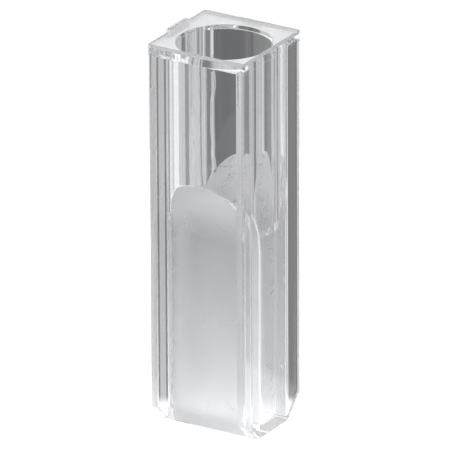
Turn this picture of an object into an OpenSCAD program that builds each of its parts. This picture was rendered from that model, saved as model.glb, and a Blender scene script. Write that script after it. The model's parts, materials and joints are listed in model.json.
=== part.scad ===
// Semi-micro cuvette for a photometer: one clear plastic moulding, open at the top.
// Two flat window plates run from the foot to the collar. Between them stands a round tube that
// narrows, through a neck, into a flat-sided chamber, so that every wall is about as thick.
// Millimetres. Z is up, and the origin is at the middle of the underside.
// Light goes through along X, the length of the narrow chamber. Y is across it.

/* [Body] */
// Side of the square that the window plates and the collar fill
body_w = 12; // [12:0.1:13]
// Height from the foot to the rim
body_h = 45; // [42:0.5:55]
// Radius on the four upright edges
edge_r = 0.3; // [0.2:0.05:0.45]
// Thickness of the two window plates
plate_t = 1; // [0.95:0.05:1.2]
// Outside diameter of the tube between the plates
tube_d = 11.9; // [11.7:0.05:11.95]

/* [Foot] */
// How far each bevel of the plates comes in at the foot
bevel_in = 2.8; // [1:0.1:3.5]
// How high each foot bevel reaches
bevel_up = 2.55; // [1:0.05:3.5]
// Radius that rounds a foot bevel into the underside
bevel_r = 0.8; // [0.2:0.1:1.5]

/* [Rim] */
// Height of the collar round the rim
collar_h = 1.3; // [0.8:0.1:3]
// How far the collar stands proud of the body
collar_out = 0.06; // [0.02:0.01:0.2]
// Height of the thin lip that stands round the edge of the rim
lip_h = 0.45; // [0.2:0.05:0.6]
// Thickness of the lip
lip_t = 0.2; // [0.15:0.05:0.3]
// Width of the gate mark on the lip
gate_w = 4.2; // [2:0.1:5]
// How far the gate mark stands over the lip
gate_h = 0.45; // [0.2:0.05:0.8]
// Thickness of the gate mark
gate_t = 0.5; // [0.3:0.05:0.65]

/* [Mouth] */
// Diameter of the round bore under the mouth
bore_d = 10.6; // [10.4:0.05:10.7]
// Draft on the bore's radius over the height of the funnel
draft = 0.02; // [0.005:0.005:0.02]
// Diameter of the shallow dish round the mouth
dish_d = 11.5; // [10.9:0.1:11.6]
// Depth of the dish
dish_h = 0.15; // [0.05:0.05:0.3]
// Height at which the bore's wide sides start to close in
throat_top = 29.3; // [29.1:0.1:31]

/* [Chamber] */
// Light path: the inside length of the chamber
light_path = 10; // [9.6:0.1:10]
// Inside width of the chamber
chamber_w = 4; // [3:0.1:4.4]
// Thickness of the chamber's two wide walls
wall_t = 1.5; // [1:0.05:1.6]
// Radius in the four upright corners of the chamber
chamber_r = 0.9; // [0.9:0.05:0.95]
// Radius where the wide walls meet the window plates, outside
web_r = 0.5; // [0.2:0.05:0.7]
// Height over the underside at which the wide walls start to open out, inside
chamber_top = 21; // [15:0.1:22]
// Height at which the wide walls start to open out, outside
neck_low = 23; // [22:0.1:24]
// Height at which the neck meets the front and back of the tube
neck_top = 29.6; // [29.5:0.1:30]
// Thickness of the chamber's floor
floor_t = 1.1; // [0.8:0.1:2]
// Height at which the end walls start to slope out into the bore
ledge_z = 23.1; // [22.5:0.1:25]
// Height over which they slope
ledge_h = 0.95; // [0.4:0.05:2]

/* [Hidden] */
$fn = 96;
// Sides of the large circles that shape the wide walls
fine_fn = 240;
half_w = body_w / 2;
bore_r = bore_d / 2;
half_l = light_path / 2;
half_c = chamber_w / 2;
plate_in = half_w - plate_t;
tube_r = tube_d / 2;
wall_y = half_c + wall_t;
collar_z = body_h - collar_h;
// How far each large arc starts inside the wall it grows from, so that the two cross cleanly
bite = 0.02;
// Each wide side closes in along an arc that leaves the chamber's wall upright
throat_run = throat_top - chamber_top;
throat_in = bore_r - half_c + bite;
throat_r = (throat_run * throat_run + throat_in * throat_in) / (2 * throat_in);
neck_run = neck_top - neck_low;
neck_in = tube_r - wall_y + bite;
neck_r = (neck_run * neck_run + neck_in * neck_in) / (2 * neck_in);
// The rim's floor inside the lip
floor_z = body_h - lip_h;
lip_in = body_w + 2 * (collar_out - lip_t);
// A little extra, so that cuts pass right through a face
over = 0.5;
// Straight pieces in each rounded turn of the foot
foot_steps = 8;

// An x by y rectangle with corners of radius r
module round_rect(x, y, r) {
    square([x - 2 * r, y], center = true);
    square([x, y - 2 * r], center = true);
    for (sx = [-1, 1], sy = [-1, 1])
        translate([sx * (x / 2 - r), sy * (y / 2 - r)])
            circle(r);
}

// Points along an arc round a centre c, from angle a to angle b
function arc(c, r, a, b, n) = [for (i = [0:n]) c + r * [cos(a + (b - a) * i / n), sin(a + (b - a) * i / n)]];

// One half of the side view, as Y and Z: an upright whose lower corner is bevelled, with a
// rounded turn from the bevel into the underside
module side_view() {
    tilt = atan2(bevel_up, bevel_in);
    turn = bevel_r * tan(tilt / 2);
    foot = half_w - bevel_in - turn;
    turned = arc([foot, bevel_r], bevel_r, -90, tilt - 90, foot_steps);
    polygon(concat([[0, 0]], turned, [
        [half_w, bevel_up],
        [half_w + over, bevel_up],
        [half_w + over, body_h + over],
        [0, body_h + over]
    ]));
}

// The neck and the tube between the plates: a round tube that two arcs thin towards the chamber
module tube() {
    difference() {
        translate([0, 0, neck_low])
            cylinder(h = body_h, r = tube_r);
        for (s = [-1, 1])
            translate([-body_w, s * (wall_y - bite + neck_r), neck_low])
                rotate([0, 90, 0])
                    cylinder(h = 2 * body_w, r = neck_r, $fn = fine_fn);
    }
}

// The space beside the chamber and the tube, between the plates and under the collar
module recess() {
    difference() {
        for (s = [-1, 1])
            translate([0, s * (wall_y + body_w / 2), -over])
                linear_extrude(collar_z + over)
                    round_rect(2 * plate_in, body_w, web_r);
        tube();
    }
}

module column() {
    intersection() {
        union() {
            difference() {
                linear_extrude(body_h)
                    round_rect(body_w, body_w, edge_r);
                recess();
            }
            translate([0, 0, collar_z])
                linear_extrude(collar_h)
                    round_rect(body_w + 2 * collar_out, body_w + 2 * collar_out, edge_r + collar_out);
        }
        rotate([90, 0, 90])
            translate([0, 0, -body_w])
                linear_extrude(2 * body_w)
                    union() {
                        side_view();
                        mirror([1, 0])
                            side_view();
                    }
    }
}

// What is left of the gate: a low pad on the rim, over the middle of one end wall
module gate_mark() {
    translate([-half_w - collar_out, 0, body_h - over])
        rotate([90, 0, 90])
            linear_extrude(gate_t)
                intersection() {
                    union() {
                        square([gate_w - 2 * gate_h, 2 * (over + gate_h)], center = true);
                        for (s = [-1, 1])
                            translate([s * (gate_w / 2 - gate_h), over])
                                circle(gate_h);
                    }
                    translate([-gate_w, 0])
                        square([2 * gate_w, 2 * body_h]);
                }
}

// The round bore, closed in on its wide sides by two arcs and at its ends by two slopes
module bore() {
    difference() {
        union() {
            translate([0, 0, chamber_top])
                cylinder(h = throat_run, r1 = bore_r - draft, r2 = bore_r);
            translate([0, 0, throat_top])
                cylinder(h = body_h, r = bore_r);
        }
        for (s = [-1, 1])
            translate([-body_w, s * (half_c - bite + throat_r), chamber_top])
                rotate([0, 90, 0])
                    cylinder(h = 2 * body_w, r = throat_r, $fn = fine_fn);
        for (s = [0, 180])
            rotate([90, 0, s])
                translate([0, 0, -body_w])
                    linear_extrude(2 * body_w)
                        polygon([
                            [half_l, chamber_top - over],
                            [half_l, ledge_z],
                            [bore_r, ledge_z + ledge_h],
                            [body_w, ledge_z + ledge_h],
                            [body_w, chamber_top - over]
                        ]);
    }
}

// The rim between the lip and the mouth: a flat floor, then a shallow dish down to the bore
module rim_floor() {
    translate([0, 0, floor_z])
        linear_extrude(lip_h + over)
            round_rect(lip_in, lip_in, edge_r / 2);
    translate([0, 0, floor_z - dish_h])
        cylinder(h = dish_h, r1 = bore_r, r2 = dish_d / 2);
}

module chamber() {
    translate([0, 0, floor_t])
        linear_extrude(ledge_z - over - floor_t)
            round_rect(light_path, chamber_w, chamber_r);
}

module cuvette() {
    color([0.86, 0.88, 0.9, 0.5]) {
        difference() {
            column();
            bore();
            rim_floor();
            chamber();
        }
        gate_mark();
    }
}

cuvette();
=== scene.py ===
"""Looks of a semi-micro cuvette: one clear plastic moulding with matt wide walls and a satin rim.

Two window plates run from the foot to a square collar. Between them a round tube narrows, through
a neck, into a flat chamber. The moulding is a single closed surface of rings, worked out with
numpy in millimetres and written in metres. X runs along the light path, Y across the chamber and
Z up.
"""

import json
import logging
import math
from dataclasses import dataclass
from enum import Enum

import bmesh
import bpy
import numpy as np
from mathutils import Matrix, Vector


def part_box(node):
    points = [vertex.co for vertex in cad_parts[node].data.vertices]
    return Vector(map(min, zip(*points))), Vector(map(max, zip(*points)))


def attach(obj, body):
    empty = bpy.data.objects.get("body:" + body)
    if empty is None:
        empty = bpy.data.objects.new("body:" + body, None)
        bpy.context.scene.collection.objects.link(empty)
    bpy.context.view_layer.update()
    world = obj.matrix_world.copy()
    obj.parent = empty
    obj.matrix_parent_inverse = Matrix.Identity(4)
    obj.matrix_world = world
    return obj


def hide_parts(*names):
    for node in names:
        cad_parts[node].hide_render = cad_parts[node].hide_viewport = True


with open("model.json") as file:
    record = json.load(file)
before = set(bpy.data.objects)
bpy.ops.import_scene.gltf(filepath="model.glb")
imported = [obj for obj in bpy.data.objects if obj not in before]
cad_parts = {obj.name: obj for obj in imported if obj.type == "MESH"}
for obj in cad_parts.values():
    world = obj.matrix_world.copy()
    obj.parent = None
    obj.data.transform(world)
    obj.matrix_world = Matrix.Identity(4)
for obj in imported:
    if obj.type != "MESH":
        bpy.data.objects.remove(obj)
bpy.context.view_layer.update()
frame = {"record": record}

log = logging.getLogger("cuvette")
MM = 0.001
TINY = 1e-6
Colour = tuple[float, float, float, float]
WHITE: Colour = (1.0, 1.0, 1.0, 1.0)
# Values between which a noise texture keeps for the most part.
NOISE_LOW, NOISE_HIGH = 0.3, 0.7


class Finish(Enum):
    """The finishes of the moulding, each with its material index."""

    CLEAR = 0
    MATT = 1
    SATIN = 2
    DULLED = 3


def smooth_step(x: np.ndarray | float, low: float, high: float) -> np.ndarray | float:
    """Rise from 0 at low to 1 at high along the cubic 3t^2 - 2t^3.

    Args:
        x: Values to map.
        low: Where the rise starts.
        high: Where the rise ends.

    Returns:
        The mapped values, from 0 to 1.
    """
    t = np.clip((x - low) / (high - low), 0.0, 1.0)
    return t * t * (3.0 - 2.0 * t)


def soft_min(a: np.ndarray, b: np.ndarray, width: float) -> np.ndarray:
    """Take the smaller of two values, rounded off where they are closer than width.

    Formula: min(a, b) less h^2 / (4 width), where h is width less |a - b|, or 0 if that is less.

    Args:
        a: First values.
        b: Second values.
        width: Difference under which the two are blended.

    Returns:
        The blended minimum, no larger than either value.
    """
    h = np.maximum(width - np.abs(a - b), 0.0)
    return np.minimum(a, b) - h * h / (4.0 * width)


def turn(start: float, end: float, steps: int) -> np.ndarray:
    """Angles in radians from start to end degrees, both included."""
    return np.radians(np.linspace(start, end, steps + 1))


def new_object(name: str, points: np.ndarray, faces: list[list[int]]) -> bpy.types.Object:
    """Make a mesh and its object, and link it to the scene.

    Args:
        name: Name of both.
        points: Rows of X, Y and Z in metres.
        faces: The points of each face, counterclockwise from outside.

    Returns:
        The new object.
    """
    mesh = bpy.data.meshes.new(name)
    mesh.from_pydata(points.tolist(), [], faces)
    made = bpy.data.objects.new(name, mesh)
    bpy.context.scene.collection.objects.link(made)
    return made


@dataclass(frozen=True)
class PackedPart:
    """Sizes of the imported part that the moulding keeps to, in millimetres."""

    reach: float
    top: float
    mouth_r: float
    mouth_run: float

    @classmethod
    def read(cls) -> "PackedPart":
        """Read the sizes from the part's box and from its record.

        Returns:
            The sizes, those of the box rounded to a thousandth.
        """
        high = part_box("cuvette")[1]
        mounts = {mount["name"]: mount["dims"] for mount in frame["record"]["mounts"]}
        mouth = mounts["mouth"]
        return cls(round(high.x / MM, 3), round(high.z / MM, 3), mouth["r_mm"], mouth["length_mm"])


@dataclass(frozen=True)
class Sampling:
    """Places round the moulding that all its rings share.

    On a plain ring, a rounded rectangle, each place is a point of the inner rectangle plus a point
    of the corner's circle. On the outline of plates and core, some of them follow the fold: the
    end and the inner face of a plate, and the web between it and the core.

    Sizes are in millimetres, and the rest in degrees round the middle. Places on the window sides
    are closer together between fine_from and fine_to off the X axis. They stop side_end before
    the corner, with two more at side_last before it. Those of the core stop core_end before the Y
    axis, with one more on it.
    """

    half_w: float
    edge_r: float
    core_x: float
    plain_step: float = 0.75
    fine_step: float = 0.375
    fine_from: float = 11.25
    fine_to: float = 28.5
    side_end: float = 1.0
    side_last: tuple[float, float] = (0.8, 0.25)
    core_end: float = 0.2
    corner_steps: int = 12
    end_steps: int = 2
    edge_steps: int = 4
    face_steps: int = 3
    web_steps: int = 8

    def quadrant(self) -> np.ndarray:
        """Work out the first quadrant, from the +X axis to the +Y axis.

        Formula: a place on a flat side at polar angle t is at tan(t) times the half width, given
        as a share of the flat's half length. A place on a corner has its own direction instead,
        and the places of the fold are evenly spaced.

        Returns:
            Rows of inner rectangle x and y, from -1 to 1, of circle x and y, and of the place
            along the fold: -1 before it, its share along it, and 2 on the core.
        """
        flat = self.half_w - self.edge_r
        share = self.half_w / flat
        limit = math.degrees(math.atan2(flat, self.half_w))
        low = np.concatenate([
            np.arange(0.0, self.fine_from, self.plain_step),
            np.arange(self.fine_from, self.fine_to, self.fine_step),
            np.arange(self.fine_to, limit - self.side_end, self.plain_step),
            limit - np.array(self.side_last),
        ])
        arc = turn(0.0, 90.0, self.corner_steps)
        folds = self.end_steps + self.edge_steps + self.face_steps + self.web_steps + 2
        fold = np.linspace(1.0, self.core_x / flat, folds + 2)[1:-1]
        core_from = math.degrees(math.atan2(self.core_x, self.half_w))
        core = np.append(np.arange(core_from, self.core_end, -self.plain_step), 0.0)
        rows = [
            (np.ones(low.size), share * np.tan(np.radians(low)), 1.0, 0.0, -1.0),
            (np.ones(arc.size), np.ones(arc.size), np.cos(arc), np.sin(arc), -1.0),
            (fold, np.ones(folds), 0.0, 1.0, np.linspace(0.0, 1.0, folds)),
            (share * np.tan(np.radians(core)), np.ones(core.size), 0.0, 1.0, 2.0),
        ]
        return np.concatenate([np.stack(np.broadcast_arrays(*row)) for row in rows], axis=1)

    def all_round(self) -> np.ndarray:
        """Mirror the first quadrant into the other three, without doubling the axes.

        Returns:
            The rows of quadrant() for the whole ring, counterclockwise from +X.
        """
        first = self.quadrant()
        flip_x = np.array([[-1.0], [1.0], [-1.0], [1.0], [1.0]])
        flip_y = np.array([[1.0], [-1.0], [1.0], [-1.0], [1.0]])
        upper = np.concatenate([first, (first * flip_x)[:, -2::-1]], axis=1)
        return np.concatenate([upper, (upper * flip_y)[:, -2:0:-1]], axis=1)


@dataclass(frozen=True)
class Levels:
    """Where the rings stand: heights and distances in millimetres, shares of a run, and steps.

    The arch is the line along which the flat chamber's wide side runs out into the round tube.
    """

    underside: tuple[float, ...] = (0.3, 0.7, 0.97, 1.0)
    bevel_steps: int = 12
    bevel_line: tuple[float, ...] = (0.05, 0.1, 0.2, 0.3, 0.32, 0.34, 0.36, 0.5, 0.7, 0.95, 1.0)
    over_bevel: float = 0.08
    walls: tuple[float, ...] = (8.0, 15.0, 22.0)
    neck_steps: int = 20
    arch_gap: float = 0.5
    arch_outside: tuple[float, ...] = (-0.25, -0.12, -0.05, 0.0, 0.05, 0.12, 0.25, 0.6)
    tube: tuple[float, ...] = (31.5, 36.0, 40.0)
    collar: tuple[tuple[float, float], ...] = ((0.015, 0.02), (0.0, 0.05))
    lip_steps: int = 4
    dish: tuple[float, ...] = (1.0, 0.9, 0.5, 0.15)
    mouth_steps: int = 5
    under_mouth: float = 0.4
    bore: tuple[float, ...] = (40.0, 35.0, 31.0)
    arch_inside: tuple[float, ...] = (1.0, 0.5, 0.25, 0.12, 0.05, 0.0, -0.05, -0.12, -0.25, -0.5)
    funnel_steps: int = 24
    under_ledge: float = 0.1
    chamber: tuple[float, ...] = (22.5, 22.0, 21.5, 21.0, 20.5, 12.0)
    over_floor: float = 0.1
    floor_steps: int = 6
    inside_floor: tuple[float, ...] = (0.97, 0.7, 0.3)


@dataclass
class Moulding:
    """The cuvette's surface, as closed rings from the middle of its underside to its inside floor.

    Sizes are in millimetres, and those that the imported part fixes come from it. foot_r_until is a
    share of the bevel's height, gate_sector a cosine of the angle from -X, matt_web a share of
    the web's radius, and an enough is the share of a face's corners that has to lie in a zone.
    """

    part: PackedPart
    levels: Levels = Levels()

    # Plates, tube and foot.
    edge_r: float = 0.3
    plate_t: float = 1.0
    tube_r: float = 5.95
    bevel_in: float = 2.8
    bevel_up: float = 2.55
    bevel_r: float = 0.8
    foot_edge: float = 0.12
    foot_r: float = 0.2
    foot_r_until: float = 0.8

    # Collar, lip and gate mark.
    collar_h: float = 1.3
    collar_out: float = 0.06
    lip_h: float = 0.45
    lip_t: float = 0.2
    lip_round: float = 0.07
    lip_corner: float = 0.25
    gate_w: float = 4.2
    gate_h: float = 0.45
    gate_t: float = 0.5
    gate_ease: float = 0.3
    gate_sector: float = 0.5

    # Dish, mouth and the arch inside.
    dish_r: float = 5.75
    dish_h: float = 0.15
    mouth_round: float = 0.08
    arch_round: float = 0.05
    arch_from: float = 1.0
    arch_full: float = 2.0
    arch_over: float = 0.6

    # Chamber's walls, webs and neck outside.
    half_l: float = 5.0
    half_c: float = 2.0
    wall_t: float = 1.5
    web_r: float = 0.5
    plate_round: float = 0.12
    neck_low: float = 23.0
    neck_top: float = 29.6
    neck_round: float = 0.12

    # Chamber, funnel, floor and ledges inside.
    chamber_r: float = 0.9
    funnel_r: float = 0.3
    funnel_r_top: float = 27.0
    chamber_top: float = 21.0
    end_round: float = 0.02
    floor_t: float = 1.1
    floor_r: float = 0.35
    ledge_z: float = 23.1
    ledge_h: float = 0.95

    # Where each finish lies, and how the mesh is closed and shaded.
    matt_low: float = 0.3
    matt_web: float = 0.6
    matt_under: float = 0.03
    matt_enough: float = 0.5
    satin_to: float = 5.87
    satin_enough: float = 0.4
    ends_enough: float = 0.9
    skin: float = 0.02
    end_skin: float = 0.01
    weld_gap: float = 0.0005
    sharp_from: float = 24.0

    def __post_init__(self) -> None:
        """Work out the shared places and the curves that follow from the sizes."""
        self.half_w = round(self.part.reach - self.collar_out, 3)
        self.body_h = round(self.part.top - self.gate_h, 3)
        self.bore_r = self.part.mouth_r
        self.wide = self.half_w + self.collar_out
        self.floor_z = self.body_h - self.lip_h
        self.mouth_z = self.floor_z - self.dish_h
        self.throat_top = round(self.mouth_z - self.part.mouth_run, 3)
        self.collar_z = self.body_h - self.collar_h
        self.plate_in = self.half_w - self.plate_t
        self.wall_y = self.half_c + self.wall_t
        self.sampling = Sampling(self.half_w, self.edge_r, self.plate_in - self.web_r)
        self.places = self.sampling.all_round()
        self.square = self.rectangle(self.half_w, self.half_w, self.edge_r)
        self.theta = np.arctan2(self.square[1], self.square[0])
        neck_run, neck_in = self.neck_top - self.neck_low, self.tube_r - self.wall_y
        self.neck_r = (neck_run ** 2 + neck_in ** 2) / (2.0 * neck_in)
        self.throat_run = self.throat_top - self.chamber_top
        throat_in = self.bore_r - self.half_c
        self.throat_r = (self.throat_run ** 2 + throat_in ** 2) / (2.0 * throat_in)
        self.corner_reach = math.hypot(self.half_l - self.chamber_r, self.half_c - self.chamber_r)
        self.corner_reach += self.chamber_r

    def rectangle(self, a: float, b: float, r: float) -> tuple[np.ndarray, np.ndarray]:
        """Place the shared places on a rounded rectangle.

        Args:
            a: Half size along X.
            b: Half size along Y.
            r: Radius of the corners.

        Returns:
            X and Y of each place.
        """
        sx, sy, nx, ny, _ = self.places
        return sx * (a - r) + nx * r, sy * (b - r) + ny * r

    def ring(self, a: float, b: float, r: float, z: float) -> np.ndarray:
        """Make one level ring: a rounded rectangle of half sizes a and b at height z."""
        x, y = self.rectangle(a, b, r)
        return np.stack([x, y, np.full_like(x, z)], axis=1)

    def polar(self, radius: np.ndarray | float, z: np.ndarray | float) -> np.ndarray:
        """Make one ring from a radius and a height for each shared angle."""
        one = np.ones_like(self.theta)
        return np.stack([radius * np.cos(self.theta), radius * np.sin(self.theta), z * one], axis=1)

    def tube_y(self, x: np.ndarray) -> np.ndarray:
        """Half depth of the tube at each x, no less than that of the chamber's flat walls."""
        return np.sqrt(np.maximum(self.tube_r ** 2 - x ** 2, self.wall_y ** 2))

    def core_y(self, x: np.ndarray, z: np.ndarray | float) -> np.ndarray:
        """Work out the half depth of the core's outside.

        Formula: the flat wall, then the lesser of the tube's circle and the neck's arc, which
        leaves the wall upright.

        Args:
            x: Places along X.
            z: Height, or a height for each place.

        Returns:
            The half depth at each place.
        """
        up = np.clip(z - self.neck_low, 0.0, self.neck_top - self.neck_low)
        neck = self.wall_y + self.neck_r - np.sqrt(self.neck_r ** 2 - up ** 2)
        neck = neck + np.maximum(z - self.neck_top, 0.0)
        return np.maximum(soft_min(self.tube_y(x), neck, self.neck_round), self.wall_y)

    def arch(self) -> np.ndarray:
        """Work out the height at which the neck meets the tube.

        Formula: the height at which the neck's arc has come out as far as the tube's circle, and
        beside the core the same as at its edge.

        Returns:
            The height at each shared place.
        """
        x = np.minimum(np.abs(self.square[0]), self.sampling.core_x)
        x = np.where(self.places[4] > 1.0, x, self.sampling.core_x)
        rise = self.neck_r - (self.tube_y(x) - self.wall_y)
        return self.neck_low + np.sqrt(self.neck_r ** 2 - rise ** 2)

    def fold(self, reach: float) -> tuple[np.ndarray, np.ndarray]:
        """Follow a plate's end, its inner face and the web, in the first quadrant.

        Formula: a straight end, a quarter circle, a straight face, and a quarter circle that
        turns the other way into the core's wall.

        Args:
            reach: How far the plate reaches along Y.

        Returns:
            X and Y of each place of the fold.
        """
        r, web = self.plate_round, self.web_r
        steps = self.sampling
        edge = turn(90.0, 180.0, steps.edge_steps)
        hollow = turn(0.0, -90.0, steps.web_steps)
        ends = np.linspace(self.half_w - self.edge_r, self.plate_in + r, steps.end_steps + 2)[1:-1]
        face = np.linspace(reach - r, self.wall_y + web, steps.face_steps + 2)[1:-1]
        x = [ends, self.plate_in + r * (1.0 + np.cos(edge)), np.full(face.size, self.plate_in),
             self.plate_in - web * (1.0 - np.cos(hollow))]
        y = [np.full(ends.size, reach), reach - r * (1.0 - np.sin(edge)), face,
             self.wall_y + web * (1.0 + np.sin(hollow))]
        return np.concatenate(x), np.concatenate(y)

    def outline(self, a: float, reach: float, r: float, z: np.ndarray | float) -> np.ndarray:
        """Make one ring round the plates and the core.

        Formula: the rounded rectangle, but on the fold the fold's own line, and on the core the
        core's half depth. Low on the foot, where the plates reach less far along Y than the
        fold needs, the web's quarter circle is cut off at that reach instead.

        Args:
            a: Half size along X.
            reach: How far the plates reach along Y, which is also the most the core may.
            r: Radius of the outer corners.
            z: Height, or a height for each place.

        Returns:
            The ring's points.
        """
        x, y = self.rectangle(a, reach, r)
        t = self.places[4]
        across, deep = np.abs(x), np.abs(y)
        across = np.where(t > 1.0, np.abs(self.places[0]) * (self.half_w - self.edge_r), across)
        on_fold = (t >= 0.0) & (t <= 1.0)
        if reach - self.plate_round > self.wall_y + self.web_r:
            fold_x, fold_y = self.fold(reach)
            at = np.rint(t[on_fold] * (fold_x.size - 1)).astype(int)
            across[on_fold], deep[on_fold] = fold_x[at], fold_y[at]
            inward = on_fold & (across <= self.plate_in)
            deep = np.where(inward, np.maximum(deep, self.core_y(across, z)), deep)
        else:
            hollow = np.clip(across - self.plate_in + self.web_r, 0.0, self.web_r)
            web = self.wall_y + self.web_r - np.sqrt(self.web_r ** 2 - hollow ** 2)
            web = np.where(across > self.plate_in, reach, web)
            deep = np.where(on_fold, np.minimum(web, reach), deep)
        deep = np.where(t > 1.0, np.minimum(self.core_y(across, z), reach), deep)
        x, y = np.copysign(across, x), np.copysign(deep, y)
        return np.stack(np.broadcast_arrays(x, y, z), axis=1).astype(float)

    def gate(self, ring: np.ndarray) -> np.ndarray:
        """Say how far the gate mark rises over the lip, as a share of its height.

        Formula: on the -X side, a flat top whose two ends fall away as quarter circles.

        Args:
            ring: Points of the lip.

        Returns:
            The share at each point, 0 away from the gate mark.
        """
        x, y, _ = ring.T
        beyond = np.clip((np.abs(y) - self.gate_w / 2 + self.gate_h) / self.gate_h, 0.0, 1.0)
        return np.where(x < -self.half_w + self.edge_r, np.sqrt(1.0 - beyond ** 2), 0.0)

    def foot(self) -> list[np.ndarray]:
        """Make the underside and the foot bevels of the plates, from the middle out and up.

        Formula: along Y the edge follows an arc from the underside into the bevel's line, and
        along X a quarter circle of the small foot radius. The core stays within the bevels.

        Returns:
            The rings, lowest first.
        """
        tilt = math.atan2(self.bevel_up, self.bevel_in)
        foot = self.half_w - self.bevel_in - self.bevel_r * math.tan(tilt / 2)
        inset = self.half_w - self.foot_edge
        rings = [self.ring(s * inset, s * foot, s * self.edge_r, 0.0) for s in self.levels.underside]
        arc = np.linspace(0.0, tilt, self.levels.bevel_steps + 1)[1:]
        ys = foot + self.bevel_r * np.sin(arc)
        zs = self.bevel_r * (1.0 - np.cos(arc))
        line = np.array(self.levels.bevel_line)
        ys = np.concatenate([ys, ys[-1] + line * (self.half_w - ys[-1])])
        zs = np.concatenate([zs, zs[-1] + line * (self.bevel_up - zs[-1])])
        low = np.clip(1.0 - zs / self.foot_edge, 0.0, 1.0)
        xs = self.half_w - self.foot_edge * (1.0 - np.sqrt(1.0 - low ** 2))
        grown = smooth_step(zs, self.foot_r_until * self.bevel_up, self.bevel_up)
        corner = self.foot_r + (self.edge_r - self.foot_r) * grown
        return rings + [self.outline(x, y, r, z) for x, y, r, z in zip(xs, ys, corner, zs)]

    def outside(self) -> list[np.ndarray]:
        """Make the plates, the core with its neck, and the collar over them.

        The rings of the neck follow the arch along which it meets the tube, so that this edge is
        a clean line. The collar's ceiling keeps each place's x, so that no face folds over.

        Returns:
            The rings, lowest first.
        """
        levels = self.levels
        arch = self.arch()
        flat = np.full_like(arch, self.neck_low)
        last = arch - levels.arch_gap
        heights = [np.full_like(arch, z) for z in (self.bevel_up + levels.over_bevel, *levels.walls)]
        heights += [flat + s * (last - flat) for s in np.linspace(0.0, 1.0, levels.neck_steps + 1)]
        heights += [arch + offset for offset in levels.arch_outside]
        heights += [np.full_like(arch, z) for z in (*levels.tube, self.collar_z)]
        rings = [self.outline(self.half_w, self.half_w, self.edge_r, z) for z in heights]
        ceiling = rings[-1].copy()
        ceiling[:, 1] = self.square[1]
        rings.append(ceiling)
        for inset, up in levels.collar:
            w = self.wide - inset
            rings.append(self.ring(w, w, self.edge_r + w - self.half_w, self.collar_z + up))
        return rings

    def lip(self) -> list[np.ndarray]:
        """Make the thin lip round the rim, with the gate mark on its -X side.

        Formula: a wall with quarter-round top edges and a quarter-round hollow at its foot
        inside. At the gate mark the top is higher and the inner face stands further in.

        Returns:
            The rings, from the outside over the top and down to the floor inside.
        """
        wide, r = self.wide, self.lip_round
        thicker = self.gate_t - self.lip_t
        arc = turn(0.0, 90.0, self.levels.lip_steps)
        outer = [(wide - r * (1.0 - math.cos(a)), -r * (1.0 - math.sin(a))) for a in arc]
        inner = [(wide - self.lip_t + r * (1.0 - math.sin(a)), -r * (1.0 - math.cos(a))) for a in arc]
        rings = []
        for w, drop in outer + inner:
            corner = max(self.edge_r + w - self.half_w, self.lip_corner)
            ring = self.ring(w, w, corner, self.body_h + drop)
            share = self.gate(ring)
            inward = smooth_step(wide - w, 0.0, self.lip_t)
            ring[:, 2] += self.gate_h * share
            ring[:, 0] += thicker * inward * smooth_step(share, 0.0, self.gate_ease)
            rings.append(ring)
        for a in arc:
            w = wide - self.lip_t - r * (1.0 - math.cos(a))
            z = self.floor_z + r * (1.0 - math.sin(a))
            ring = self.ring(w, w, self.lip_corner, z)
            share = smooth_step(self.gate(ring), 0.0, self.gate_ease)
            ring[:, 0] += thicker * share
            ring[:, 2] -= share * (z - min(z, self.dish_z(wide - self.gate_t)))
            rings.append(ring)
        return rings

    def dish_z(self, radius: float) -> float:
        """Height of the dish at a radius: a cone between the mouth and the rim's flat floor."""
        share = (radius - self.bore_r) / (self.dish_r - self.bore_r)
        return self.floor_z - self.dish_h * (1.0 - min(max(share, 0.0), 1.0))

    def mouth(self) -> list[np.ndarray]:
        """Make the shallow dish and the rounded edge of the bore.

        Formula: a cone from the dish's rim in to the bore, then a quarter circle down into it.
        Behind the gate mark the dish starts at the mark's inner face.

        Returns:
            The rings, from the dish's rim to the top of the bore.
        """
        face = self.wide - self.gate_t - self.lip_round
        along = np.cos(self.theta)
        near = face / np.maximum(np.abs(along), self.gate_sector)
        near = np.where(along < -self.gate_sector, near, self.dish_r)
        rim = np.minimum(self.dish_r, near)
        slope = self.dish_h / (self.dish_r - self.bore_r)
        start = self.bore_r + self.mouth_round
        rings = []
        for share in self.levels.dish:
            radius = start + share * (rim - start)
            rings.append(self.polar(radius, self.floor_z - (self.dish_r - radius) * slope))
        top = self.mouth_z + self.mouth_round * slope
        for a in turn(0.0, 90.0, self.levels.mouth_steps):
            radius = self.bore_r + self.mouth_round * (1.0 - math.sin(a))
            rings.append(self.polar(radius, top - self.mouth_round * (1.0 - math.cos(a))))
        return rings

    def wide_side(self, z: np.ndarray) -> np.ndarray:
        """Half distance between the wide sides of the cavity at height z, along the throat's arc."""
        up = np.clip(z - self.chamber_top, 0.0, self.throat_run)
        return self.half_c + self.throat_r - np.sqrt(self.throat_r ** 2 - up ** 2)

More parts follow.
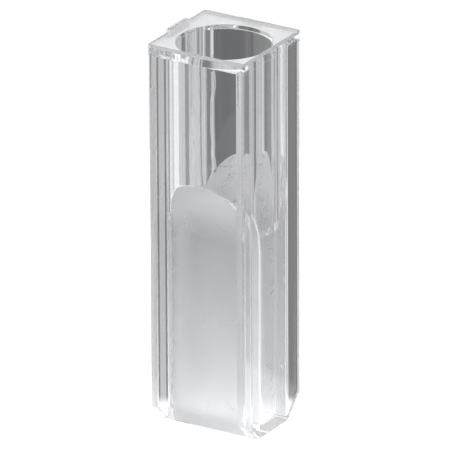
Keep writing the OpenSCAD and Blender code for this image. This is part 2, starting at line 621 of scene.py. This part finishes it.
    def cavity(self, z: np.ndarray) -> np.ndarray:
        """Work out the radius of the cavity at each shared angle.

        Formula: the least of the bore's circle, the flat wide side, the flat end wall and, in
        each corner, a fillet that touches both the circle and the wide side. Where the side meets
        the bore the lesser is rounded off, with the side held to twice the bore, past which it
        has no say.

        Args:
            z: Heights, one for each angle.

        Returns:
            The radii.
        """
        across = np.abs(np.sin(self.theta))
        along = np.abs(np.cos(self.theta))
        angle = np.arctan2(across, along)
        up = np.clip((z - self.ledge_z) / self.ledge_h, 0.0, 1.0)
        bore = self.corner_reach + (self.bore_r - self.corner_reach) * up
        end = self.half_l + (self.bore_r - self.half_l) * up
        side = self.wide_side(z)
        fade = smooth_step(z, self.chamber_top, self.funnel_r_top)
        fillet_r = self.chamber_r + (self.funnel_r - self.chamber_r) * fade
        cy = side - fillet_r
        reach = bore - fillet_r
        cx = np.sqrt(np.maximum(reach ** 2 - cy ** 2, 0.0))
        start = np.arctan2(cy, cx)
        stop = np.arctan2(side, cx)
        off = angle - start
        fillet = reach * np.cos(off)
        fillet += np.sqrt(np.maximum(fillet_r ** 2 - (reach * np.sin(off)) ** 2, 0.0))
        wall = side / np.maximum(across, TINY)
        radius = np.where(angle >= stop, wall, np.where(angle > start, fillet, bore))
        radius = np.where(z >= self.throat_top, bore, radius)
        high = smooth_step(z, self.chamber_top + self.arch_from, self.chamber_top + self.arch_full)
        blended = soft_min(np.minimum(wall, 2.0 * bore), bore, self.arch_round)
        radius = np.minimum(radius, radius + high * (blended - np.minimum(wall, bore)))
        return soft_min(radius, end / np.maximum(along, TINY), self.end_round)

    def level(self, z: np.ndarray) -> np.ndarray:
        """Make one ring on the cavity's wall, at a height for each angle."""
        return self.polar(self.cavity(z), z)

    def inside(self) -> list[np.ndarray]:
        """Make the bore, the funnel and the chamber, down to its floor.

        The rings of the funnel follow the arch along which the wide sides meet the bore, so
        that this edge is a clean line.

        Returns:
            The rings, highest first.
        """
        levels = self.levels
        across = np.abs(np.sin(self.theta))
        depth = self.half_c + self.throat_r - self.bore_r * across
        arch = self.chamber_top + np.sqrt(np.maximum(self.throat_r ** 2 - depth ** 2, 0.0))
        arch = np.where(self.bore_r * across > self.half_c, arch, self.chamber_top)
        arch = np.maximum(arch, self.ledge_z + self.ledge_h + self.arch_over)
        bore = (self.mouth_z - levels.under_mouth, *levels.bore)
        rings = [self.polar(self.bore_r, z) for z in bore]
        rings += [self.level(arch + offset) for offset in levels.arch_inside]
        last = arch - levels.arch_gap
        foot = self.ledge_z - levels.under_ledge
        for share in np.linspace(0.0, 1.0, levels.funnel_steps + 1)[1:]:
            rings.append(self.level(last + share * (foot - last)))
        for z in (*levels.chamber, self.floor_t + self.floor_r + levels.over_floor):
            rings.append(self.level(np.full_like(self.theta, z)))
        x, y, _ = rings[-1].T
        for a in turn(0.0, 90.0, levels.floor_steps):
            draw = self.floor_r * (1.0 - math.cos(a))
            z = self.floor_t + self.floor_r * (1.0 - math.sin(a))
            scale_x = (self.half_l - draw) / self.half_l
            scale_y = (self.half_c - draw) / self.half_c
            rings.append(np.stack([x * scale_x, y * scale_y, np.full_like(x, z)], axis=1))
        floor = rings[-1]
        return rings + [floor * [share, share, 1.0] for share in levels.inside_floor]

    def matt(self, points: np.ndarray) -> np.ndarray:
        """Say where the surface is matt: outside on the chamber's wide walls and their necks.

        Args:
            points: Rows of X, Y and Z.

        Returns:
            True for each point on them.
        """
        x, y, z = points.T
        core = self.core_y(x, z)
        on_wall = np.abs(np.abs(y) - core) < self.skin
        under_arch = core < self.tube_y(x) - self.matt_under
        between = np.abs(x) < self.plate_in - self.matt_web * self.web_r
        return on_wall & under_arch & between & (z > self.matt_low)

    def satin(self, points: np.ndarray) -> np.ndarray:
        """Say where the surface is satin: on the rim's floor, between the lip and the mouth.

        Formula: no further than the dish's depth from the middle of that depth, outside the
        mouth's circle and inside the lip's square.

        Args:
            points: Rows of X, Y and Z.

        Returns:
            True for each point on it.
        """
        x, y, z = points.T
        level = np.abs(z - self.floor_z + 0.5 * self.dish_h) < self.dish_h
        outside_mouth = np.hypot(x, y) > self.bore_r + self.skin
        inside_lip = np.maximum(np.abs(x), np.abs(y)) < self.satin_to
        return level & outside_mouth & inside_lip

    def plate_ends(self, points: np.ndarray) -> np.ndarray:
        """Say where the surface is dulled: on the narrow upright ends of the window plates.

        Args:
            points: Rows of X, Y and Z.

        Returns:
            True for each point on them.
        """
        x, y, z = points.T
        on_end = np.abs(y) > self.half_w - self.end_skin
        return on_end & (np.abs(x) > self.plate_in) & (z < self.collar_z)

    def join(self, rings: list[np.ndarray]) -> tuple[np.ndarray, np.ndarray, np.ndarray]:
        """Join each ring to the next, and close both ends with a fan.

        Args:
            rings: The rings, from the middle of the underside to that of the inside floor.

        Returns:
            The points, the four-sided faces between rings, and the three-sided faces of the fans.
        """
        bottom = np.array([[0.0, 0.0, 0.0]])
        floor = np.array([[0.0, 0.0, self.floor_t]])
        points = np.concatenate([bottom, *rings, floor])
        n = self.theta.size
        at = 1 + np.arange(len(rings) * n).reshape(len(rings), n)
        after = np.roll(at, -1, axis=1)
        quads = np.stack([at[:-1], after[:-1], after[1:], at[1:]], axis=-1).reshape(-1, 4)
        first = np.stack([np.zeros(n, int), after[0], at[0]], axis=1)
        last = np.stack([np.full(n, len(points) - 1), at[-1], after[-1]], axis=1)
        return points, quads, np.concatenate([first, last])

    def finishes(self, points: np.ndarray, quads: np.ndarray, fans: np.ndarray) -> np.ndarray:
        """Choose the finish of each face: clear, unless enough of its corners lie elsewhere.

        Args:
            points: The mesh's points in millimetres.
            quads: Its four-sided faces.
            fans: Its three-sided faces, which are all clear.

        Returns:
            The material index of each face, quads first.
        """
        index = np.full(len(quads) + len(fans), Finish.CLEAR.value, np.int32)
        zones = (
            (Finish.MATT, self.matt(points), self.matt_enough),
            (Finish.SATIN, self.satin(points), self.satin_enough),
            (Finish.DULLED, self.plate_ends(points), self.ends_enough),
        )
        for finish, covered, enough in zones:
            chosen = np.flatnonzero(covered[quads].mean(axis=1) > enough)
            index[chosen] = finish.value
        return index

    def weld(self, mesh: bpy.types.Mesh) -> None:
        """Merge the points that coincide where rings touch, which also drops the empty faces.

        Args:
            mesh: The mesh to mend, in place.
        """
        edited = bmesh.new()
        edited.from_mesh(mesh)
        bmesh.ops.remove_doubles(edited, verts=edited.verts, dist=self.weld_gap * MM)
        edited.to_mesh(mesh)
        edited.free()

    def build(self) -> bpy.types.Object:
        """Join the rings into one closed mesh and give each face its finish.

        Returns:
            The new object, linked to the scene.
        """
        rings = self.foot() + self.outside() + self.lip() + self.mouth() + self.inside()
        points, quads, fans = self.join(rings)
        shell = new_object("cuvette_shell", points * MM, quads.tolist() + fans.tolist())
        mesh = shell.data
        mesh.polygons.foreach_set("material_index", self.finishes(points, quads, fans))
        self.weld(mesh)
        mesh.shade_smooth()
        mesh.set_sharp_from_angle(angle=math.radians(self.sharp_from))
        mesh.update()
        return shell


@dataclass
class Nodes:
    """Shorthands for one node tree, with a node that gives the coordinates for its patterns."""

    tree: bpy.types.NodeTree

    def __post_init__(self) -> None:
        """Add the node that gives the coordinates."""
        self.where = self.tree.nodes.new("ShaderNodeTexCoord")

    def add(self, kind: str, inputs: dict[str | int, object], **options: str) -> bpy.types.Node:
        """Add a node and fill its inputs.

        Args:
            kind: The node's type.
            inputs: A socket to link, or a value to set, for each input by its name or number.
            options: The node's own settings.

        Returns:
            The new node.
        """
        node = self.tree.nodes.new(kind)
        for name, value in options.items():
            setattr(node, name, value)
        for name, value in inputs.items():
            if isinstance(value, bpy.types.NodeSocket):
                self.tree.links.new(value, node.inputs[name])
            else:
                node.inputs[name].default_value = value
        return node

    def place(self) -> bpy.types.NodeOutputs:
        """Outputs X, Y and Z of the object's own coordinates, in metres."""
        return self.add("ShaderNodeSeparateXYZ", {0: self.where.outputs["Object"]}).outputs

    def work(self, operation: str, *terms: bpy.types.NodeSocket | float) -> bpy.types.NodeSocket:
        """Socket of a sum on one or two terms."""
        return self.add("ShaderNodeMath", dict(enumerate(terms)), operation=operation).outputs[0]

    def noise(self, scale: float, detail: float) -> bpy.types.NodeSocket:
        """Socket of a noise on the object's own coordinates, with scale in cycles a metre."""
        inputs = {"Vector": self.where.outputs["Object"], "Scale": scale, "Detail": detail}
        return self.add("ShaderNodeTexNoise", inputs).outputs["Fac"]

    def between(self, value: bpy.types.NodeSocket, low: float, high: float, start: float = 0.0,
                end: float = 1.0, way: str = "LINEAR") -> bpy.types.NodeSocket:
        """Map a value from one range onto another.

        Args:
            value: The value's socket.
            low: Where the value gives start.
            high: Where it gives end.
            start: The result up to low.
            end: The result from high on.
            way: How the result runs between them.

        Returns:
            The result's socket.
        """
        inputs = {"Value": value, "From Min": low, "From Max": high, "To Min": start, "To Max": end}
        return self.add("ShaderNodeMapRange", inputs, interpolation_type=way).outputs["Result"]

    def step(self, value: bpy.types.NodeSocket, low: float, high: float) -> bpy.types.NodeSocket:
        """Socket that rises smoothly from 0 to 1 as value goes from low to high."""
        return self.between(value, low, high, way="SMOOTHSTEP")

    def bump(self, height: bpy.types.NodeSocket, depth: float,
             under: bpy.types.NodeSocket | None = None) -> bpy.types.NodeSocket:
        """Raise the surface in the light by a pattern.

        Args:
            height: The pattern's socket, from 0 to 1.
            depth: What 1 stands for, in millimetres.
            under: Socket of the normal on which it stands, or None for the bare surface.

        Returns:
            The new normal's socket.
        """
        inputs = {"Height": height, "Distance": depth * MM}
        if under is not None:
            inputs["Normal"] = under
        return self.add("ShaderNodeBump", inputs).outputs["Normal"]

    def seen(self) -> bpy.types.NodeSocket:
        """Socket that is 1 for what the camera itself sees, and 0 for all other light."""
        return self.add("ShaderNodeLightPath", {}).outputs["Is Camera Ray"]

    def mix(self, share: bpy.types.NodeSocket, before: bpy.types.NodeSocket,
            after: bpy.types.NodeSocket) -> bpy.types.NodeSocket:
        """Socket of a shader that is before where share is 0, and after where it is 1."""
        return self.add("ShaderNodeMixShader", {"Fac": share, 1: before, 2: after}).outputs[0]

    def light(self, kind: str, level: float, tone: Colour = WHITE) -> bpy.types.NodeSocket:
        """Socket of a shader that gives light: an emission, or a background."""
        return self.add(kind, {"Color": tone, "Strength": level}).outputs[0]


@dataclass(frozen=True)
class Run:
    """A thin upright run in the surface, like a dried drop, on the front of the tube.

    Lengths are in millimetres, the crest is a share of the width and the wave is in cycles a
    metre.
    """

    x: float = 1.9
    y: float = -5.4
    low: float = 31.6
    high: float = 43.5
    width: float = 0.2
    crest: float = 0.3
    wave: float = 160.0
    wave_detail: float = 2.0
    wander: float = 0.25
    front_edge: float = 0.1
    end_edge: float = 0.4
    height: float = 0.08

    def shape(self, nodes: Nodes) -> bpy.types.NodeSocket:
        """Work out the height of the run, from 0 beside it to 1 on it.

        Formula: a soft ridge round its upright line, whose place along X wanders with the height,
        kept to the front of the tube and to its range of heights.

        Args:
            nodes: The material's nodes.

        Returns:
            The socket of the height.
        """
        place = nodes.place()
        left, right = (self.x - self.wander) * MM, (self.x + self.wander) * MM
        wave = nodes.noise(self.wave, self.wave_detail)
        middle = nodes.between(wave, NOISE_LOW, NOISE_HIGH, left, right)
        away = nodes.work("ABSOLUTE", nodes.work("SUBTRACT", place["X"], middle))
        ridge = nodes.between(away, self.width * MM, self.crest * self.width * MM)
        limits = (
            ("Y", self.y, self.y - self.front_edge),
            ("Z", self.low, self.low + self.end_edge),
            ("Z", self.high, self.high - self.end_edge),
        )
        for axis, start, full in limits:
            kept = nodes.between(place[axis], start * MM, full * MM)
            ridge = nodes.work("MULTIPLY", ridge, kept)
        return ridge


@dataclass(frozen=True)
class PaintedShadeAndScuffs:
    """Painted shade on the matt walls: a greyer zone, strongest just under the neck; and their fine
    scuffs, which are bumps.

    Lengths are in millimetres, and the scales of the noises in cycles a metre. The width and the
    middle of a scuff and the limits of a patch are values of their noise.
    """

    low: float = 3.0
    full: float = 20.5
    end: float = 22.5
    gone: float = 26.0
    # Grey of the painted shade, mixed into the base colour.
    tint: Colour = (0.62, 0.63, 0.645, 1.0)
    blotch_scale: float = 210.0
    blotch_least: float = 0.7
    scuff_depth: float = 0.12
    scuff_scale: float = 330.0
    scuff_width: float = 0.012
    scuff_middle: float = 0.5
    patch_scale: float = 150.0
    patch_from: float = 0.5
    patch_full: float = 0.6
    detail: float = 3.0
    patch_detail: float = 1.0

    def scuffs(self, nodes: Nodes) -> bpy.types.NodeSocket:
        """Work out the fine curled scuffs on the matt walls, from 0 beside them to 1 on them.

        Formula: thin lines where a noise passes its middle value, kept to a few patches by a
        second, slower noise.

        Args:
            nodes: The material's nodes.

        Returns:
            The socket of the height.
        """
        off = nodes.work("SUBTRACT", nodes.noise(self.scuff_scale, self.detail), self.scuff_middle)
        line = nodes.between(nodes.work("ABSOLUTE", off), self.scuff_width, 0.0)
        slow = nodes.noise(self.patch_scale, self.patch_detail)
        return nodes.work("MULTIPLY", line, nodes.between(slow, self.patch_from, self.patch_full))

    def shape(self, nodes: Nodes) -> bpy.types.NodeSocket:
        """Work out how much painted shade each point gets, from 0 to 1.

        Formula: a share that grows with height up to the zone and goes again over the neck,
        times a blotchy noise.

        Args:
            nodes: The material's nodes.

        Returns:
            The socket of the share.
        """
        z = nodes.place()["Z"]
        up = nodes.between(z, self.low * MM, self.full * MM)
        down = nodes.between(z, self.end * MM, self.gone * MM, 1.0, 0.0)
        noise = nodes.noise(self.blotch_scale, self.detail)
        blotch = nodes.between(noise, NOISE_LOW, NOISE_HIGH, self.blotch_least, 1.0)
        return nodes.work("MULTIPLY", nodes.work("MULTIPLY", up, down), blotch)


@dataclass(frozen=True)
class Plastic:
    """A finish of the moulded polystyrene, from polished to matt.

    The share of light that is scattered instead of let through is what the clear share leaves.
    The roughness varies by the spread to either side, in clouds. The grain and the clouds are in
    cycles a metre, and the grain's depth is in millimetres.
    """

    name: str
    clear: float
    rough: float
    spread: float
    grain: float
    grain_depth: float
    run: Run | None = None
    # Painted shade under the neck and scuffs of the matt walls, if any.
    shade_and_scuffs: PaintedShadeAndScuffs | None = None
    tint: Colour = (0.985, 0.99, 1.0, 1.0)
    ior: float = 1.59
    clouds: float = 420.0
    clouds_detail: float = 3.0
    grain_detail: float = 2.0

    def make(self) -> bpy.types.Material:
        """Make the material: cloudy roughness over a fine grain, with any zone of painted shade and
        run.

        Returns:
            The new material.
        """
        material = bpy.data.materials.new(self.name)
        material.use_nodes = True
        shader = material.node_tree.nodes["Principled BSDF"]
        shader.inputs["Base Color"].default_value = self.tint
        shader.inputs["Transmission Weight"].default_value = self.clear
        shader.inputs["IOR"].default_value = self.ior
        nodes = Nodes(material.node_tree)
        link = nodes.tree.links.new
        cloudy = nodes.noise(self.clouds, self.clouds_detail)
        low, high = self.rough - self.spread, self.rough + self.spread
        link(nodes.between(cloudy, NOISE_LOW, NOISE_HIGH, low, high), shader.inputs["Roughness"])
        normal = nodes.bump(nodes.noise(self.grain, self.grain_detail), self.grain_depth)
        if self.shade_and_scuffs is not None:
            # Inputs 6 and 7 and output 2 of a mix node are the ones for colours.
            # Painted shade: the base colour is mixed towards a grey in the zone under the neck.
            tones = {"Factor": self.shade_and_scuffs.shape(nodes), 6: self.tint, 7: self.shade_and_scuffs.tint}
            painted_shade = nodes.add("ShaderNodeMix", tones, data_type="RGBA")
            link(painted_shade.outputs[2], shader.inputs["Base Color"])
            normal = nodes.bump(self.shade_and_scuffs.scuffs(nodes), self.shade_and_scuffs.scuff_depth, normal)
        if self.run is not None:
            normal = nodes.bump(self.run.shape(nodes), self.run.height, normal)
        link(normal, shader.inputs["Normal"])
        return material


FINISHES = {
    Finish.CLEAR: Plastic("clear_plastic", clear=1.0, rough=0.02, spread=0.01, grain=700.0,
                          grain_depth=0.002, run=Run()),
    # The matt finish carries painted shade under the neck, besides its scuffs.
    Finish.MATT: Plastic("matt_plastic", clear=1.0, rough=0.88, spread=0.1, grain=3200.0,
                         grain_depth=0.02, shade_and_scuffs=PaintedShadeAndScuffs()),
    Finish.SATIN: Plastic("satin_plastic", clear=0.35, rough=0.35, spread=0.05, grain=3200.0,
                          grain_depth=0.006),
    Finish.DULLED: Plastic("dulled_plastic", clear=1.0, rough=0.4, spread=0.06, grain=700.0,
                           grain_depth=0.002),
}


@dataclass(frozen=True)
class Card:
    """A soft studio card far from the object, given by its direction and half width in degrees."""

    azimuth: float
    elevation: float
    half_width: float
    soft: float
    level: float
    tone: Colour = WHITE

    def direction(self) -> Vector:
        """Unit vector towards the card's middle."""
        az, el = math.radians(self.azimuth), math.radians(self.elevation)
        return Vector((math.cos(az) * math.cos(el), math.sin(az) * math.cos(el), math.sin(el)))


@dataclass(frozen=True)
class NearCard:
    """An upright card close behind the object, in millimetres.

    Its sides are given to the right of the view's middle, and it stands away behind it.
    """

    name: str
    away: float
    left: float
    right: float
    low: float
    top: float
    level: float


@dataclass(frozen=True)
class Floor:
    """The plain pale floor just under the foot, in metres.

    Its glow fades towards the rim, from soft on. It also fades, from full to gone, with the
    distance from a middle that lies before the object, so that it ends a little behind the foot.
    """

    size: float = 0.08
    points: int = 96
    drop: float = 0.00002
    soft: float = 0.015
    middle: tuple[float, float, float] = (0.0515, -0.0857, 0.0)
    full: float = 0.1045
    gone: float = 0.1075
    level: float = 1.2
    paint: Colour = (0.8, 0.8, 0.8, 1.0)
    roughness: float = 0.9
    glow: float = 0.8

    def build(self) -> bpy.types.Object:
        """Make the floor: a flat disc.

        Returns:
            The floor object.
        """
        angle = np.linspace(0.0, 2.0 * math.pi, self.points + 1)[:-1]
        down = np.full_like(angle, -self.drop)
        rim = np.stack([self.size * np.cos(angle), self.size * np.sin(angle), down], axis=1)
        floor = new_object("floor", rim, [list(range(self.points))])
        floor.data.materials.append(self.finish())
        return floor

    def finish(self) -> bpy.types.Material:
        """Make the floor's material: pale paint to the camera, and a fading glow to all else.

        Returns:
            The new material.
        """
        material = bpy.data.materials.new("pale_floor")
        material.use_nodes = True
        nodes = Nodes(material.node_tree)
        paint = nodes.tree.nodes["Principled BSDF"]
        paint.inputs["Base Color"].default_value = self.paint
        paint.inputs["Roughness"].default_value = self.roughness
        paint.inputs["Emission Color"].default_value = WHITE
        paint.inputs["Emission Strength"].default_value = self.glow
        where = nodes.where.outputs["Object"]
        far = nodes.add("ShaderNodeVectorMath", {0: where, 1: self.middle}, operation="DISTANCE")
        out = nodes.add("ShaderNodeVectorMath", {0: where}, operation="LENGTH")
        edge = nodes.step(far.outputs["Value"], self.full, self.gone)
        rim = nodes.step(out.outputs["Value"], self.soft, self.size)
        clear = nodes.add("ShaderNodeBsdfTransparent", {}).outputs[0]
        glow = nodes.light("ShaderNodeEmission", self.level)
        faded = nodes.mix(nodes.work("MAXIMUM", edge, rim), glow, clear)
        shown = nodes.mix(nodes.seen(), faded, paint.outputs[0])
        nodes.tree.links.new(shown, nodes.tree.nodes["Material Output"].inputs["Surface"])
        return material


@dataclass(frozen=True)
class Studio:
    """Soft surroundings with a few cards, and the camera.

    Angles are in degrees and an edge in shares of its direction. The camera's sizes are in
    metres, but for its lens in millimetres and its shift, a share of the picture.
    """

    level: float = 0.55
    sky_level: float = 1.08
    sky_edge: tuple[float, float] = (-0.3, 0.3)
    ground_level: float = 0.75
    ground_edge: tuple[float, float] = (0.45, 0.8)
    cards: tuple[Card, ...] = (
        Card(azimuth=300.0, elevation=-22.0, half_width=35.0, soft=20.0, level=0.3,
             tone=(0.94, 0.98, 1.08, 1.0)),
        Card(azimuth=190.0, elevation=-10.0, half_width=50.0, soft=12.0, level=1.05),
        Card(azimuth=121.0, elevation=-22.0, half_width=9.0, soft=7.0, level=0.135),
    )
    near_cards: tuple[NearCard, ...] = (
        NearCard("side_card", away=30.0, left=-25.0, right=-6.4, low=-20.0, top=80.0, level=0.5),
    )
    azimuth: float = 31.0
    elevation: float = 22.33
    roll: float = -0.27
    distance: float = 1.1744
    aim_height: float = 0.0225
    focal: float = 863.7
    shift_y: float = 0.0102
    clip_start: float = 0.01

    def camera(self) -> bpy.types.Object:
        """Make the camera: a long lens that looks down on two of the four walls.

        Returns:
            The camera object.
        """
        a, e, roll = (math.radians(v) for v in (self.azimuth, self.elevation, self.roll))
        back = Vector((math.sin(a) * math.cos(e), -math.cos(a) * math.cos(e), math.sin(e)))
        right = Vector((math.cos(a), math.sin(a), 0.0))
        up = back.cross(right)
        x_axis = math.cos(roll) * right + math.sin(roll) * up
        y_axis = math.cos(roll) * up - math.sin(roll) * right
        place = Vector((0.0, 0.0, self.aim_height)) + back * self.distance
        data = bpy.data.cameras.new("camera")
        data.lens = self.focal
        data.shift_y = self.shift_y
        data.clip_start = self.clip_start
        camera = bpy.data.objects.new("camera", data)
        turned = Matrix((x_axis, y_axis, back)).transposed()
        camera.matrix_world = Matrix.LocRotScale(place, turned.to_quaternion(), None)
        bpy.context.scene.collection.objects.link(camera)
        bpy.context.scene.camera = camera
        return camera

    def world(self) -> bpy.types.World:
        """Make the surroundings: a level that rises to the sky's, a ground, and soft-edged cards.

        Returns:
            The world, which the camera itself sees as plain white.
        """
        world = bpy.data.worlds.new("studio")
        bpy.context.scene.world = world
        world.use_nodes = True
        world.node_tree.nodes.clear()
        nodes = Nodes(world.node_tree)
        up = Vector((0.0, 0.0, 1.0))
        start = nodes.light("ShaderNodeBackground", self.level)
        last = self.fade(nodes, up, self.sky_edge, start, self.sky_level)
        last = self.fade(nodes, -up, self.ground_edge, last, self.ground_level)
        for card in self.cards:
            angles = (card.half_width + card.soft, card.half_width)
            edge = tuple(math.cos(math.radians(angle)) for angle in angles)
            last = self.fade(nodes, card.direction(), edge, last, card.level, card.tone)
        white = nodes.light("ShaderNodeBackground", 1.0)
        nodes.add("ShaderNodeOutputWorld", {"Surface": nodes.mix(nodes.seen(), last, white)})
        return world

    def fade(self, nodes: Nodes, towards: Vector, edge: tuple[float, float],
             start: bpy.types.NodeSocket, level: float, tone: Colour = WHITE) -> bpy.types.NodeSocket:
        """Fade the surroundings along one direction.

        Args:
            nodes: The world's nodes.
            towards: Direction along which the light changes.
            edge: Shares of that direction at which the fade starts and ends.
            start: The shader before it.
            level: Level of the light after it.
            tone: Colour of the light after it.

        Returns:
            The shader socket of the faded surroundings.
        """
        looked = {0: nodes.where.outputs["Generated"], 1: towards}
        dot = nodes.add("ShaderNodeVectorMath", looked, operation="DOT_PRODUCT")
        share = nodes.step(dot.outputs["Value"], *edge)
        return nodes.mix(share, start, nodes.light("ShaderNodeBackground", level, tone))

    def stand(self, size: NearCard) -> bpy.types.Object:
        """Make one pale card behind the object, unseen by the camera itself.

        Args:
            size: The card's name, place, size and level.

        Returns:
            The card object.
        """
        a = math.radians(self.azimuth)
        back = np.array([-math.sin(a), math.cos(a), 0.0])
        along = np.array([math.cos(a), math.sin(a), 0.0])
        corners = [(size.left, size.low), (size.right, size.low), (size.right, size.top),
                   (size.left, size.top)]
        points = [back * size.away + along * x + np.array([0.0, 0.0, z]) for x, z in corners]
        card = new_object(size.name, np.array(points) * MM, [[0, 1, 2, 3]])
        card.visible_camera = False
        card.visible_shadow = False
        material = bpy.data.materials.new(size.name)
        material.use_nodes = True
        nodes = Nodes(material.node_tree)
        glow = nodes.light("ShaderNodeEmission", size.level)
        nodes.tree.links.new(glow, nodes.tree.nodes["Material Output"].inputs["Surface"])
        card.data.materials.append(material)
        return card


@dataclass(frozen=True)
class Bounces:
    """How often light may turn, enough for the many walls of a clear moulding."""

    total: int = 32
    through: int = 32
    mirrored: int = 16

    def apply(self) -> None:
        """Set the scene's limits."""
        cycles = bpy.context.scene.cycles
        cycles.max_bounces = self.total
        cycles.transmission_bounces = self.through
        cycles.glossy_bounces = self.mirrored


def main() -> None:
    """Build the camera, the surroundings and the moulding, and dress it."""
    logging.basicConfig(level=logging.INFO, format="%(message)s")
    bpy.context.scene.view_settings.view_transform = "Standard"
    Bounces().apply()
    studio = Studio()
    camera = studio.camera()
    log.info("camera: %.1f mm lens", camera.data.lens)
    world = studio.world()
    log.info("surroundings %s: %d far cards", world.name, len(studio.cards))
    floor = Floor().build()
    log.info("floor: %d points", len(floor.data.vertices))
    for size in studio.near_cards:
        card = studio.stand(size)
        log.info("%s: %d face", card.name, len(card.data.polygons))
    shell = Moulding(PackedPart.read()).build()
    for finish in Finish:
        material = FINISHES[finish].make()
        shell.data.materials.append(material)
        log.info("finish %d: %s", finish.value, material.name)
    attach(shell, "root")
    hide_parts("cuvette")
    log.info("cuvette_shell: %d faces", len(shell.data.polygons))


if __name__ == "__main__":
    main()
